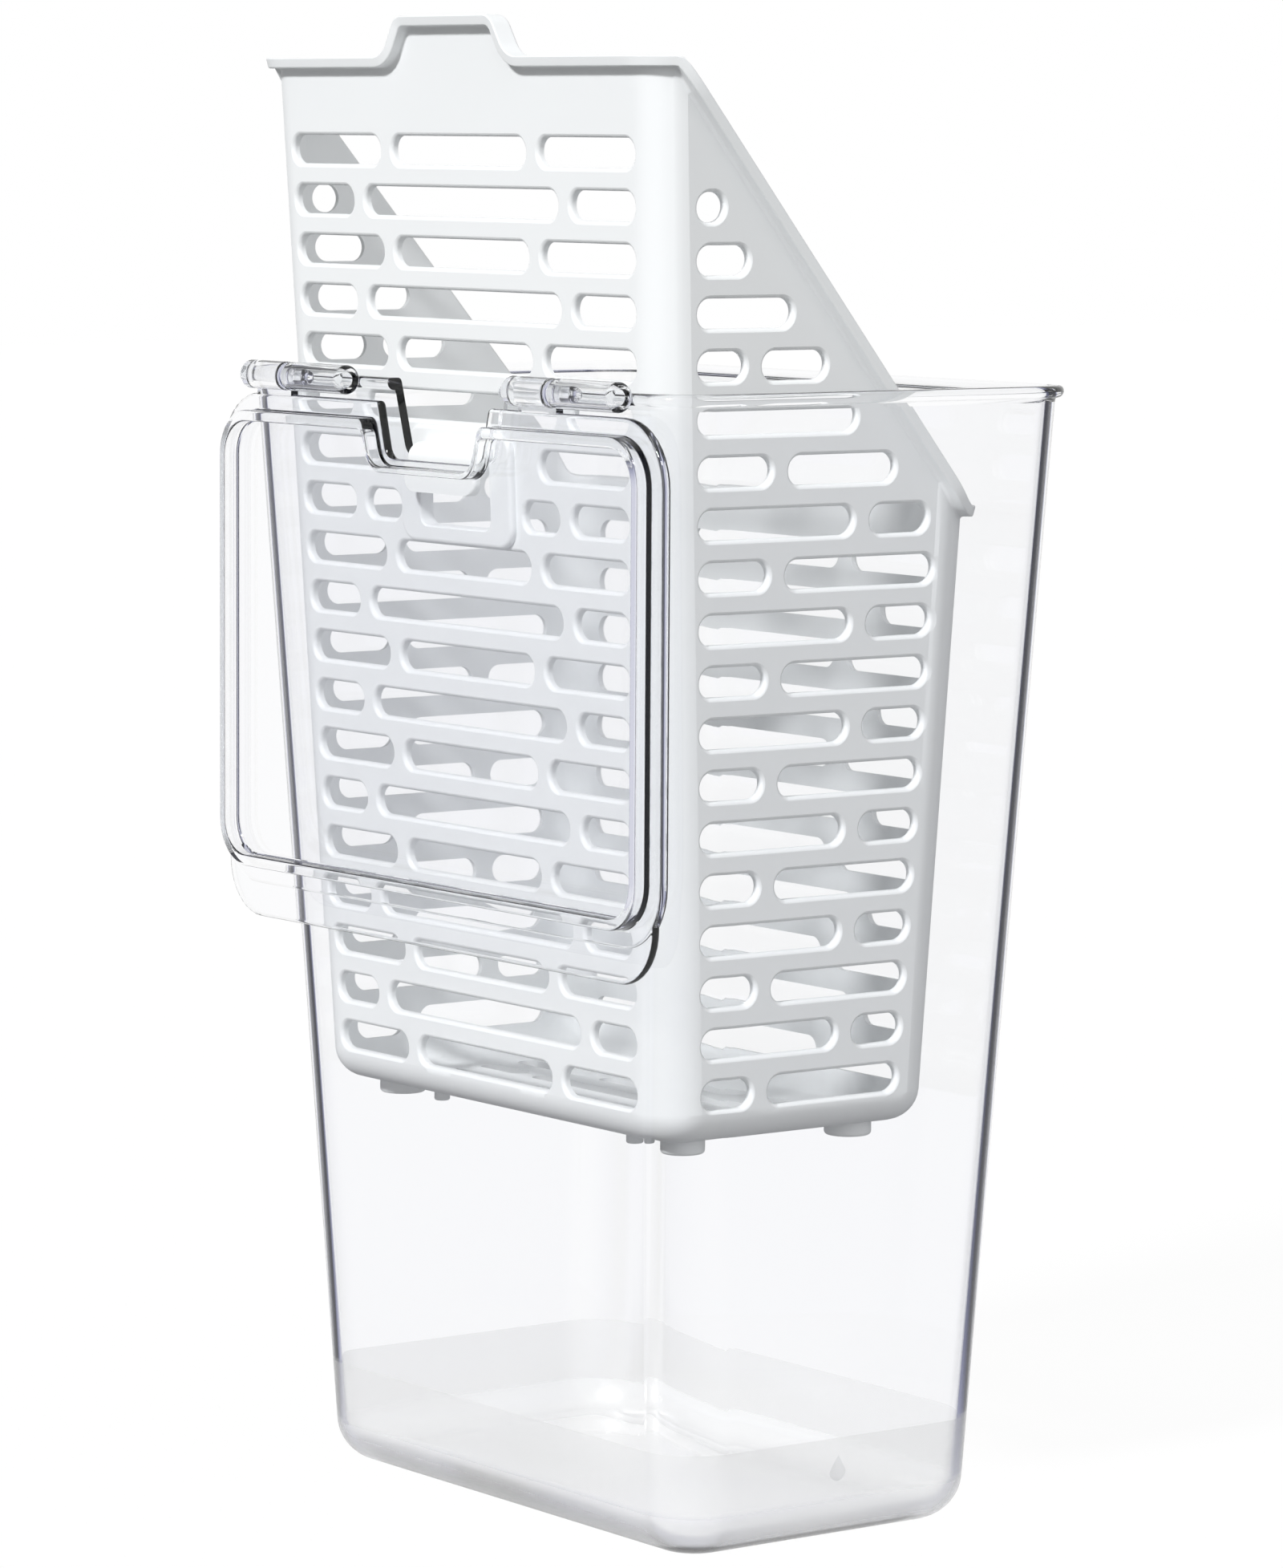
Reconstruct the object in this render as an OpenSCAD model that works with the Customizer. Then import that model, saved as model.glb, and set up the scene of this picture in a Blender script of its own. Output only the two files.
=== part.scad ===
// Herb keeper: a clear tapered container with a hinged lid that hangs open in front,
// and a white slotted basket raised and hooked over a notch in the container's front rim.
// Millimetres. X to the right, Y to the back, Z up. Origin in the middle of the container's base.

/* [Container] */
// Height from the base to the top of the rim
height = 240; // [200:1:280]
// Outer width of the walls at the rim
rim_w = 157.5; // [140:0.5:180]
// Outer depth of the walls at the rim
rim_d = 104; // [96:0.5:120]
// Outer width of the walls, carried down to the base
base_w = 134; // [120:0.5:138]
// Outer depth of the walls, carried down to the base
base_d = 80; // [76:0.5:88]
// Thickness of the walls
wall = 2; // [1.6:0.1:2.6]
// Thickness of the floor
floor_t = 3; // [2:0.1:5]
// Corner radius of the walls at the rim
rim_corner_r = 10.5; // [8:0.5:16]
// Corner radius of the walls at the base
base_corner_r = 13; // [11:0.5:18]
// Radius of the edge between base and walls
base_edge_r = 9; // [5:0.5:10]
// How far the rim bead stands out from the wall
bead_w = 1.7; // [1:0.1:2.5]
// Height of the rim bead
bead_h = 2.6; // [2:0.1:4]

/* [Notch] */
// Width of the container's notch at the rim
notch_top_w = 41; // [36:0.5:46]
// Width of the container's notch along its bottom edge
notch_bottom_w = 33; // [30:0.5:35]
// Depth of the container's notch below the rim
notch_depth = 16.4; // [14:0.1:20]
// Corner radius at the bottom of the notches
notch_r = 3.5; // [2:0.1:5]

/* [Hinge] */
// Diameter of the knuckles
knuckle_d = 6.2; // [5.6:0.1:7]
// Radius of the rounded ends of the knuckles
knuckle_round = 1.2; // [0.6:0.1:2]
// Length of each lid knuckle
lid_knuckle = 15.5; // [12:0.1:18]
// Length of each container knuckle
body_knuckle = 22.5; // [18:0.1:25]
// Distance between the middles of the two hinges
hinge_spacing = 97; // [92:0.5:102]
// Diameter of the pins moulded on the lid knuckles
pin_d = 3.4; // [2.6:0.1:3.8]
// Clearance between pin and bore, all round
pin_clear = 0.08; // [0.05:0.01:0.1]
// Gap between neighbouring knuckles
knuckle_gap = 0.2; // [0.1:0.05:0.4]
// Gap between a knuckle and the rim bead
hinge_gap = 0.4; // [0.3:0.05:0.8]
// How far the hinge axis lies below the rim
axis_drop = 0.7; // [0:0.1:1.2]

/* [Lid] */
// Thickness of the lid's plate
lid_t = 2; // [1.6:0.1:2.4]
// Gap between the plate's hinge edge and the knuckles
lid_edge_gap = 0.95; // [0.6:0.05:1.5]
// How far the pull lip reaches past the bead at the back
lid_pull = 7; // [4:0.5:12]
// Corner radius of the plate at the hinge side
lid_hinge_r = 14; // [11:0.5:18]
// Corner radius of the plate at the pull lip
lid_pull_r = 12; // [10:0.5:16]
// Height of the plug ring under the plate
ring_h = 3.5; // [2.5:0.1:3.6]
// Thickness of the plug ring
ring_t = 2.4; // [1.6:0.1:3]
// Corner radius of the plug ring
ring_r = 10; // [8.6:0.1:14]
// Clearance between the plug ring and the container's mouth
ring_clear = 0.5; // [0.3:0.05:1]
// Gap between the closed plate and the rim
lid_seat_gap = 0.3; // [0.1:0.05:0.5]
// Width of the lid's notch at the hinge edge
lid_notch_w = 38.4; // [34:0.2:42]
// Width of the lid's notch along its inner edge
lid_notch_inner_w = 33; // [29:0.2:33]
// Depth of the lid's notch, from the hinge axis
lid_notch_reach = 16; // [14:0.1:18]

/* [Basket] */
// Thickness of the basket's walls
basket_wall = 1.8; // [1.4:0.1:2.4]
// Thickness of the basket's floor
basket_floor = 2; // [1.5:0.1:3]
// Gap to the container's wall beside the basket's floor, when it is let down
basket_gap_low = 2.8; // [1.5:0.1:4]
// Gap to the container's wall beside the basket's rim, when it is let down
basket_gap_high = 1.6; // [1:0.1:3]
// How far the basket's rim lies below the container's rim, when it is let down
basket_drop = 12.6; // [12.4:0.1:20]
// Height of the low back wall
back_h = 129; // [110:1:140]
// Distance from the front wall to the start of the slanted sides
slant_inset = 3.8; // [3:0.1:8]
// Distance from the back wall to the end of the slanted sides
slant_run_out = 3; // [1:0.1:8]
// Corner radius of the basket's walls
basket_corner_r = 9; // [7:0.1:12]
// Radius of the edge between the basket's floor and walls
basket_edge_r = 6.5; // [4:0.1:6.8]
// How far the rim flange stands out
flange_w = 3; // [2:0.1:4]
// Thickness of the rim flange
flange_t = 2; // [1.4:0.1:2.6]
// Height of the finger tab above the rim
tab_h = 8.5; // [6:0.1:8.5]
// Width of the finger tab at the rim
tab_base_w = 48; // [42:0.5:56]
// Width of the finger tab at its top
tab_top_w = 35; // [28:0.5:40]
// Corner radius of the finger tab
tab_r = 4; // [2:0.1:5]
// Diameter of the feet
foot_d = 10; // [8:0.1:11]
// Height of the feet
foot_h = 3.4; // [2:0.1:5]
// Distance of the feet from the middle, sideways
foot_x = 50; // [40:0.5:50]
// Distance of the feet from the middle, front to back
foot_y = 21.5; // [17:0.5:22]
// Diameter of the drip pegs
peg_d = 3.4; // [2.5:0.1:4]
// Distance of the drip pegs from the middle, sideways
peg_x = 35; // [25:0.5:40]

/* [Slots] */
// Height of each slot
slot_h = 6.1; // [4:0.1:7]
// Distance from one row of slots to the next
row_pitch = 10.64; // [9.5:0.01:14]
// Plain band above the first row
top_band = 16.4; // [14:0.1:24]
// Plain band below the last row
bottom_band = 6.9; // [6.9:0.1:12]
// Distance from a slot's end to the wall round the corner
slot_margin = 9.3; // [9:0.1:14]
// Distance from a side slot's end to the back wall
slot_back_margin = 11; // [9:0.1:16]
// Distance from a side slot's end to the slanted edge, measured level
slot_slant_margin = 9.5; // [8:0.1:14]
// Width of the bars between slots
bar_w = 4.4; // [3:0.1:6]
// Distance of the bars from the middle in odd rows of the front
bar_odd = 26.3; // [24:0.1:30]
// Distance of the bars from the middle in even rows of the front
bar_even = 37; // [34:0.1:42]
// Place of the bar in odd rows of the sides, from the front wall at the floor
side_bar_odd = 23; // [18:0.1:28]
// Place of the bar in even rows of the sides, from the front wall at the floor
side_bar_even = 44.5; // [38:0.1:48]
// Place of the bar in an odd row that the slant cuts short
side_bar_short = 16; // [14:0.1:20]
// Length of the shortest slot
slot_least = 6.2; // [6.2:0.1:9]
// Distance from one row of floor slots to the next
floor_pitch = 10; // [8:0.1:11]
// Width of the floor slots
floor_slot = 5; // [3:0.1:6]
// Distance from the middle to the end of the floor slots
floor_reach = 42; // [36:0.5:43]
// Distance of the bars from the middle in odd rows of the floor
floor_bar_odd = 14; // [12:0.1:18]
// Distance of the bars from the middle in even rows of the floor
floor_bar_even = 25; // [22:0.1:28]

/* [Hook] */
// Height of the hook's seat above the basket's floor, measured outside
hook_seat = 137.9; // [134:0.1:142]
// Width of the hook
hook_w = 26; // [20:0.5:28]
// Thickness of the hook's top
hook_t = 3.1; // [2.4:0.1:4]
// Thickness of the hook's leg
hook_leg_t = 2.2; // [1.6:0.1:2.3]
// How far the leg hangs below the seat
hook_leg = 7.2; // [5:0.1:9]
// Play of the container's wall inside the hook
hook_play = 2.2; // [2.1:0.05:2.8]
// Clearance between the hook and the container's wall
hook_clear = 0.3; // [0.2:0.05:0.4]
// Gap in front of the hook to the container's wall, when the basket is let down
hook_gap = 0.9; // [0.5:0.1:2]
// Radius over the outside of the hook
hook_r = 2.6; // [1:0.1:3]
// How far the pad stands out from the front wall
pad_t = 1.5; // [1:0.1:1.5]
// Width of the pad
pad_w = 40; // [36:0.5:44]
// How far the pad reaches below the seat
pad_below = 17.9; // [16:0.1:22]
// How far the pad reaches above the seat
pad_above = 6.6; // [4:0.1:6.8]
// Corner radius of the pad
pad_r = 4; // [2:0.1:6]
// Width of the window behind the hook's leg
window_w = 25; // [20:0.5:28]
// How far the window reaches below the seat
window_below = 14.2; // [10:0.1:15]

/* [Hidden] */
$fn = 64;

arc_steps = 6;      // straight pieces in a rounded corner
past = 1;           // how far a cutting shape passes the face that it cuts
far = 400;          // longer than the whole part
least_r = 0.6;      // smallest rounding of a moulded edge
floor_rows = 4;
clear_plastic = [0.86, 0.9, 0.93, 0.35];
white_plastic = [0.95, 0.96, 0.96];

// Container
taper_x = (rim_w - base_w) / 2 / height;
taper_y = (rim_d - base_d) / 2 / height;
mouth_w = rim_w - 2 * wall;
mouth_d = rim_d - 2 * wall;
bead_out_w = rim_w + 2 * bead_w;
bead_out_d = rim_d + 2 * bead_w;

// Hinge
knuckle_r = knuckle_d / 2;
bore_d = pin_d + 2 * pin_clear;
axis_y = -bead_out_d / 2 - hinge_gap - knuckle_r;
axis_z = height - axis_drop;
hinge_len = lid_knuckle + knuckle_gap + body_knuckle;
hinge_x = [-hinge_spacing / 2 - hinge_len / 2, hinge_spacing / 2 - hinge_len / 2];

// Lid, closed, measured from the hinge axis
lid_z = axis_drop + lid_seat_gap;
lid_y0 = knuckle_r + lid_edge_gap;
lid_y1 = -axis_y + bead_out_d / 2 + lid_pull;
ring_y0 = -axis_y - mouth_d / 2 + ring_clear;
ring_y1 = -axis_y + mouth_d / 2 - ring_clear;
ring_w = mouth_w - 2 * ring_clear;

// Basket
basket_h = height - floor_t - foot_h - basket_drop;
let_down_z = floor_t + foot_h;
hook_mouth = wall + hook_play;
hook_reach = hook_mouth + hook_leg_t;
low_w = base_w + 2 * taper_x * let_down_z - 2 * wall - 2 * basket_gap_low;
low_d = base_d + 2 * taper_y * let_down_z - 2 * wall - hook_reach - hook_gap;
high_w = base_w + 2 * taper_x * (let_down_z + basket_h) - 2 * (wall + flange_w + basket_gap_high);
high_d = base_d + 2 * taper_y * (let_down_z + basket_h) - 2 * (wall + flange_w + basket_gap_high);
lean_x = (high_w - low_w) / 2 / basket_h;
lean_y = (high_d - low_d) / 2 / basket_h;
function half_w(z) = low_w / 2 + lean_x * z;
function half_d(z) = low_d / 2 + lean_y * z;
tab_z = basket_h + tab_h;
slant_y0 = -half_d(basket_h) + slant_inset;
slant_y1 = half_d(back_h) - slant_run_out;
slant = (basket_h - back_h) / (slant_y1 - slant_y0);
slant_stretch = sqrt(1 + slant * slant);
rows = 1 + floor((basket_h - top_band - slot_h - bottom_band) / row_pitch);
function row_top(k) = basket_h - top_band - k * row_pitch;

// The basket hangs by its hook on the bottom edge of the container's notch
notch_z = height - notch_depth;
notch_wall_y = -(rim_d / 2 - taper_y * notch_depth);
basket_z = notch_z + hook_clear - hook_seat;
basket_y = notch_wall_y - hook_clear + hook_mouth + half_d(hook_seat);

// Points on the arc that rounds corner c, between its neighbours a and b
function unit(v) = v / norm(v);
function corner_arc(a, c, b, r) =
    r <= 0 ? [c] :
    let (u = unit(a - c), v = unit(b - c), half = acos(u * v) / 2)
    let (middle = c + unit(u + v) * r / sin(half))
    let (from = c + u * r / tan(half) - middle, to = c + v * r / tan(half) - middle)
    let (start = atan2(from[1], from[0]), turn = atan2(to[1], to[0]) - start)
    let (sweep = turn > 180 ? turn - 360 : turn < -180 ? turn + 360 : turn)
    [for (k = [0:arc_steps]) let (t = start + sweep * k / arc_steps) middle + r * [cos(t), sin(t)]];

// An outline with each corner rounded by its own radius
function rounded(points, radii) =
    let (n = len(points))
    [for (i = [0:n - 1]) each corner_arc(points[(i + n - 1) % n], points[i], points[(i + 1) % n], radii[i])];

function rectangle(w, d) = [[w / 2, -d / 2], [w / 2, d / 2], [-w / 2, d / 2], [-w / 2, -d / 2]];

// One level section of a tapered tank
function section(w, d, r, z) = [for (p = rounded(rectangle(w, d), [r, r, r, r])) [p[0], p[1], z]];

// Closed solid through level sections, lowest first
module loft(sections) {
    n = len(sections[0]);
    m = len(sections);
    sides = [for (j = [0:m - 2], i = [0:n - 1])
        [j * n + i, (j + 1) * n + i, (j + 1) * n + (i + 1) % n, j * n + (i + 1) % n]];
    bottom = [for (i = [0:n - 1]) i];
    top = [for (i = [n - 1:-1:0]) (m - 1) * n + i];
    polyhedron([for (s = sections) each s], concat([bottom], sides, [top]));
}

// Tapered tank whose lower edge is rounded: sizes at z = 0 and how they grow with height
module tank(w, d, grow_x, grow_y, r_low, r_high, edge_r, z0, z1) {
    edge = [for (k = [0:arc_steps])
        let (t = 90 * k / arc_steps)
        [edge_r * (1 - sin(t)), z0 + edge_r * (1 - cos(t))]];
    levels = concat(edge, [[0, z1]]);
    loft([for (e = levels)
        let (share = (e[1] - z0) / (z1 - z0))
        section(w + 2 * grow_x * e[1] - 2 * e[0], d + 2 * grow_y * e[1] - 2 * e[0],
            max(r_low + (r_high - r_low) * share - e[0], 1), e[1])]);
}

// Flat shape turned upright and pushed along Y: its x stays X and its y becomes Z
module along_y(y0, y1) {
    translate([0, y1, 0]) rotate([90, 0, 0]) linear_extrude(y1 - y0) children();
}

// Flat shape turned upright and pushed along X: its x becomes Y and its y becomes Z
module along_x(x0, x1) {
    translate([x0, 0, 0]) rotate([90, 0, 90]) linear_extrude(x1 - x0) children();
}

// Barrel along X with rounded ends
module barrel(x0, x1, r) {
    translate([x0, 0, 0]) rotate([0, 90, 0]) rotate_extrude()
        polygon(rounded([[0, 0], [r, 0], [r, x1 - x0], [0, x1 - x0]], [0, knuckle_round, knuckle_round, 0]));
}

// Slot from x0 to x1 with round ends, middle at the given height
module slot(x0, x1, middle, h) {
    r = h / 2;
    translate([x0 + r, middle - r]) square([x1 - x0 - h, h]);
    translate([x0 + r, middle]) circle(r);
    translate([x1 - r, middle]) circle(r);
}

module container() {
    color(clear_plastic) difference() {
        union() {
            tank(base_w, base_d, taper_x, taper_y, base_corner_r, rim_corner_r, base_edge_r, 0, height);
            translate([0, 0, height - bead_h]) linear_extrude(bead_h)
                polygon(rounded(rectangle(bead_out_w, bead_out_d), [for (i = [0:3]) rim_corner_r + bead_w]));
            for (x = hinge_x) body_knuckle_at(x + lid_knuckle + knuckle_gap);
        }
        tank(base_w - 2 * wall, base_d - 2 * wall, taper_x, taper_y,
            base_corner_r - wall, rim_corner_r - wall, base_edge_r - wall, floor_t, height + past);
        along_y(-far, 0) polygon(rounded(notch_outline(), [0, notch_r, notch_r, 0]));
        for (x = hinge_x) translate([x + lid_knuckle - past, axis_y, axis_z]) rotate([0, 90, 0])
            cylinder(d = bore_d, h = body_knuckle + 3 * past);
    }
}

// Notch in the front rim, carried on above the rim at the same slope
function notch_outline() =
    let (slope = (notch_top_w - notch_bottom_w) / 2 / notch_depth)
    let (top = notch_top_w / 2 + slope * past)
    let (bottom = notch_bottom_w / 2)
    [[-top, height + past], [-bottom, notch_z], [bottom, notch_z], [top, height + past]];

// Long knuckle with the web that ties it to the rim
module body_knuckle_at(x) {
    web_z0 = height - bead_h;
    translate([0, axis_y, axis_z]) barrel(x, x + body_knuckle, knuckle_r);
    translate([x + knuckle_round, axis_y, web_z0])
        cube([body_knuckle - 2 * knuckle_round, -rim_d / 2 + wall / 2 - axis_y, height - web_z0]);
}

// The lid is drawn closed about the hinge axis and then swung open until it hangs
module lid() {
    color(clear_plastic) translate([0, axis_y, axis_z]) rotate([270, 0, 0]) {
        translate([0, 0, lid_z]) linear_extrude(lid_t) difference() {
            polygon(rounded([[bead_out_w / 2, lid_y0], [bead_out_w / 2, lid_y1],
                [-bead_out_w / 2, lid_y1], [-bead_out_w / 2, lid_y0]],
                [lid_hinge_r, lid_pull_r, lid_pull_r, lid_hinge_r]));
            lid_notch(0);
        }
        translate([0, 0, lid_z - ring_h]) linear_extrude(ring_h + lid_t / 2) difference() {
            lid_ring(0);
            lid_ring(ring_t);
        }
        for (x = hinge_x) lid_knuckle_at(x);
    }
}

module lid_ring(inset) {
    difference() {
        translate([0, (ring_y0 + ring_y1) / 2]) polygon(rounded(
            rectangle(ring_w - 2 * inset, ring_y1 - ring_y0 - 2 * inset), [for (i = [0:3]) ring_r - inset]));
        lid_notch(inset);
    }
}

// Notch in the lid's hinge edge, grown outwards by the given amount
module lid_notch(grow) {
    slope = (lid_notch_w - lid_notch_inner_w) / 2 / (lid_notch_reach - lid_y0);
    reach = lid_notch_reach + grow;
    inner = lid_notch_inner_w / 2 + grow;
    outer = inner + slope * reach;
    polygon(rounded([[-outer, 0], [-inner, reach], [inner, reach], [outer, 0]],
        [0, notch_r + grow, notch_r + grow, 0]));
}

// Short knuckle with its pin, and the web that ties it to the plate
module lid_knuckle_at(x) {
    barrel(x, x + lid_knuckle, knuckle_r);
    translate([x + lid_knuckle - past, 0, 0]) rotate([0, 90, 0])
        cylinder(d = pin_d, h = body_knuckle + past);
    translate([x + knuckle_round, 0, lid_z]) cube([lid_knuckle - 2 * knuckle_round, lid_y0 + lid_t, lid_t]);
}

module basket() {
    color(white_plastic) translate([0, basket_y, basket_z]) {
        difference() {
            union() {
                intersection() {
                    basket_tank(0);
                    below_rim(0);
                }
                rim_flange();
                pad();
            }
            basket_tank(-basket_wall);
            front_slots();
            side_slots();
            floor_slots();
            along_y(-far, 0) translate([-window_w / 2, hook_seat - window_below])
                square([window_w, window_below]);
        }
        hook();
        feet();
    }
}

// Basket's outside, grown by the given amount. Its inside is the same shape, shrunk, on the floor's top
module basket_tank(grow) {
    z0 = grow < 0 ? basket_floor : 0;
    tank(low_w + 2 * grow, low_d + 2 * grow, lean_x, lean_y, basket_corner_r + grow, basket_corner_r + grow,
        basket_edge_r, z0, tab_z + past);
}

// All that lies under the basket's rim, moved in from it by the given amount
module below_rim(inset) {
    intersection() {
        along_y(-far, far) polygon(rounded(
            [[-far, -past], [far, -past], [far, basket_h - inset],
            [tab_base_w / 2 - inset / 2, basket_h - inset], [tab_top_w / 2 - inset, tab_z - inset],
            [-tab_top_w / 2 + inset, tab_z - inset], [-tab_base_w / 2 + inset / 2, basket_h - inset],
            [-far, basket_h - inset]],
            [0, 0, 0, tab_r, max(tab_r - inset, least_r), max(tab_r - inset, least_r), tab_r, 0]));
        along_x(-far, far) polygon(
            [[-far, -past], [far, -past], [far, back_h - inset],
            [slant_y1 + (1 - slant_stretch) * inset / slant, back_h - inset],
            [slant_y0, basket_h - slant_stretch * inset], [slant_y0, far], [-far, far]]);
    }
}

// Flange along the rim, down the slanted sides and along the low back
module rim_flange() {
    difference() {
        intersection() {
            basket_tank(flange_w);
            below_rim(0);
        }
        below_rim(flange_t);
    }
}

// Raised pad round the hook, lying on the leaning front wall
module pad() {
    z0 = hook_seat - pad_below;
    h = pad_below + pad_above;
    translate([0, -half_d(z0), z0]) rotate([90 + atan(lean_y), 0, 0])
        translate([0, h / 2, -basket_wall / 2]) linear_extrude(basket_wall / 2 + pad_t)
        polygon(rounded(rectangle(pad_w, h), [pad_r, pad_r, pad_r, pad_r]));
}

// Hook that hangs over the edge of the container's notch
module hook() {
    y0 = -half_d(hook_seat);
    root_y = y0 + basket_wall / 2;
    inside_y = y0 - hook_mouth;
    outside_y = y0 - hook_reach;
    leg_z = hook_seat - hook_leg;
    top_z = hook_seat + hook_t;
    along_x(-hook_w / 2, hook_w / 2) polygon(rounded(
        [[root_y, hook_seat], [inside_y, hook_seat], [inside_y, leg_z], [outside_y, leg_z],
        [outside_y, top_z], [root_y, top_z]],
        [0, least_r, least_r, least_r, hook_r, 0]));
}

// Slots of one row between two ends, parted by bars of the given middles
function parted(x0, x1, bars) =
    let (starts = concat([x0], [for (b = bars) b + bar_w / 2]))
    let (ends = concat([for (b = bars) b - bar_w / 2], [x1]))
    [for (i = [0:len(starts) - 1])
        let (end = min(ends[i], x1))
        if (end - starts[i] >= slot_least) [starts[i], end]];

// Rows of slots through the front wall, and through the back wall where it is as high.
// Beside the pad a row keeps only what clears it
module front_slots() {
    for (k = [0:rows - 1]) {
        top = row_top(k);
        bar = k % 2 == 0 ? bar_odd : bar_even;
        reach = half_w(top) - slot_margin;
        beside_pad = top > hook_seat - pad_below && top - slot_h < hook_seat + pad_above - slot_h / 2;
        clear_of_pad = pad_w / 2 + bar_w / 2;
        spans = beside_pad
            ? concat(parted(-reach, -clear_of_pad, [-bar]), parted(clear_of_pad, reach, [bar]))
            : parted(-reach, reach, [-bar, bar]);
        through = top < back_h - flange_t - slot_h / 2;
        along_y(-far, through ? far : 0) for (s = spans) slot(s[0], s[1], top - slot_h / 2, slot_h);
    }
}

// Rows of slots through both sides, stopped short of the slanted edge
module side_slots() {
    for (k = [1:rows - 1]) {
        top = row_top(k);
        front_end = -half_d(top) + slot_margin;
        slant_end = slant_y0 + (basket_h - top) / slant - slot_slant_margin;
        back_end = min(half_d(top) - slot_back_margin, slant_end);
        cut_short = back_end < -low_d / 2 + side_bar_odd + bar_w + 2 * slot_h;
        bar = k % 2 == 1 ? side_bar_even : cut_short ? side_bar_short : side_bar_odd;
        along_x(-far, far) for (s = parted(front_end, back_end, [bar - low_d / 2]))
            slot(s[0], s[1], top - slot_h / 2, slot_h);
    }
}

// Rows of drain slots through the floor
module floor_slots() {
    for (k = [0:floor_rows - 1]) {
        middle = (k - (floor_rows - 1) / 2) * floor_pitch;
        bar = k % 2 == 0 ? floor_bar_odd : floor_bar_even;
        translate([0, 0, -past]) linear_extrude(basket_floor + 2 * past)
            for (s = parted(-floor_reach, floor_reach, [-bar, bar])) slot(s[0], s[1], middle, floor_slot);
    }
}

// Feet near the corners, and two drip pegs between the front pair
module feet() {
    for (x = [-foot_x, foot_x], y = [-foot_y, foot_y])
        translate([x, y, -foot_h]) cylinder(d = foot_d, h = foot_h + basket_floor / 2);
    for (x = [-peg_x, peg_x])
        translate([x, -foot_y, -foot_h]) cylinder(d = peg_d, h = foot_h + basket_floor / 2);
}

container();
lid();
basket();
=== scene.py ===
# Herb keeper, dressed in the frame of its CAD model: a clear container, its clear lid hanging
# open on two hinges in front, and a white slotted basket hooked over the notch in the rim.
import math

import bmesh
import bpy
from mathutils import Matrix, Vector


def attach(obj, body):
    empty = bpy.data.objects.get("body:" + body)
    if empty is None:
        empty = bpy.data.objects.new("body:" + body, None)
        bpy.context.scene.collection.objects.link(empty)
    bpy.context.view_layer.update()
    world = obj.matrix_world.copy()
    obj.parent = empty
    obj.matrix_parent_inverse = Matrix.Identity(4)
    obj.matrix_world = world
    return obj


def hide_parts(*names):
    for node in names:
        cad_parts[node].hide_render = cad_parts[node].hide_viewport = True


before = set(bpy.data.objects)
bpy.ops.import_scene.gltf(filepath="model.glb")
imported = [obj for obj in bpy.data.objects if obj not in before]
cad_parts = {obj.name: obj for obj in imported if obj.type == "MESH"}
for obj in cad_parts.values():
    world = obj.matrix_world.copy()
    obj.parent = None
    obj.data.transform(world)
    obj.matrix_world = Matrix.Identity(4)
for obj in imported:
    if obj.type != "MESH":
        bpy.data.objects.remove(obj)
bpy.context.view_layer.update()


# Container: one injection moulding of clear styrene plastic, about 2 mm thick all over.
# Its walls flare upwards to a rounded bead with a notch in front, where the basket hangs.
# The mould's texture leaves a frosted band round the base, with one polished drop in it.
mm = 0.001
height = 240 * mm
base_w = 134 * mm
base_d = 80 * mm
flare_x = (157.5 * mm - base_w) / 2 / height
flare_y = (104 * mm - base_d) / 2 / height
wall = 2 * mm
floor_top = 3 * mm
base_edge = 9 * mm
frost_top = 22.5 * mm
bead_r = 1.3 * mm
bead_out = 1.7 * mm
lip_round = 0.8 * mm
mid_height = 120 * mm


def rounded_rectangle(w, d, r, steps):
    """Points round a rectangle with round corners, and one close to each end of its straight sides."""
    points = []
    for corner in range(4):
        x = (w / 2 - r) * (1, 1, -1, -1)[corner]
        y = (d / 2 - r) * (-1, 1, 1, -1)[corner]
        for k in range(steps + 1):
            turn = math.radians(90 * (corner - 1 + k / steps))
            points.append(Vector((x + r * math.cos(turn), y + r * math.sin(turn))))
    whole = []
    for i, here in enumerate(points):
        after = points[(i + 1) % len(points)]
        whole.append(here)
        if (i + 1) % (steps + 1) == 0:
            whole.append(here.lerp(after, 0.03))
            whole.append(here.lerp(after, 0.97))
    return whole


def container_section(z, out):
    """Level loop round the container at height z, moved outwards from the outer wall."""
    r = (13 - 2.5 * z / height) * mm
    w = base_w + 2 * flare_x * z + 2 * out
    d = base_d + 2 * flare_y * z + 2 * out
    outline = rounded_rectangle(w, d, r + out, 12)
    return [Vector((p.x, p.y, z)) for p in outline]


def arc(centre, r, start, end, steps):
    """Points along an arc in a plane, from one angle to another in degrees."""
    angles = [math.radians(start + (end - start) * k / steps) for k in range(steps + 1)]
    return [(centre[0] + r * math.cos(a), centre[1] + r * math.sin(a)) for a in angles]


def loft(name, loops):
    """Closed solid through loops of as many points each, with both ends capped."""
    work = bmesh.new()
    rings = [[work.verts.new(point) for point in loop] for loop in loops]
    count = len(loops[0])
    for low, high in zip(rings, rings[1:]):
        for i in range(count):
            j = (i + 1) % count
            work.faces.new((low[i], low[j], high[j], high[i]))
    ends = [work.faces.new(rings[0]), work.faces.new(rings[-1])]
    bmesh.ops.recalc_face_normals(work, faces=work.faces)
    bmesh.ops.triangulate(work, faces=ends)
    mesh = bpy.data.meshes.new(name)
    work.to_mesh(mesh)
    work.free()
    piece = bpy.data.objects.new(name, mesh)
    bpy.context.scene.collection.objects.link(piece)
    return piece


def bake(piece):
    """Turns a piece and its modifiers into a plain mesh."""
    graph = bpy.context.evaluated_depsgraph_get()
    mesh = bpy.data.meshes.new_from_object(piece.evaluated_get(graph))
    old = piece.data
    piece.modifiers.clear()
    piece.data = mesh
    bpy.data.meshes.remove(old)


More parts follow.
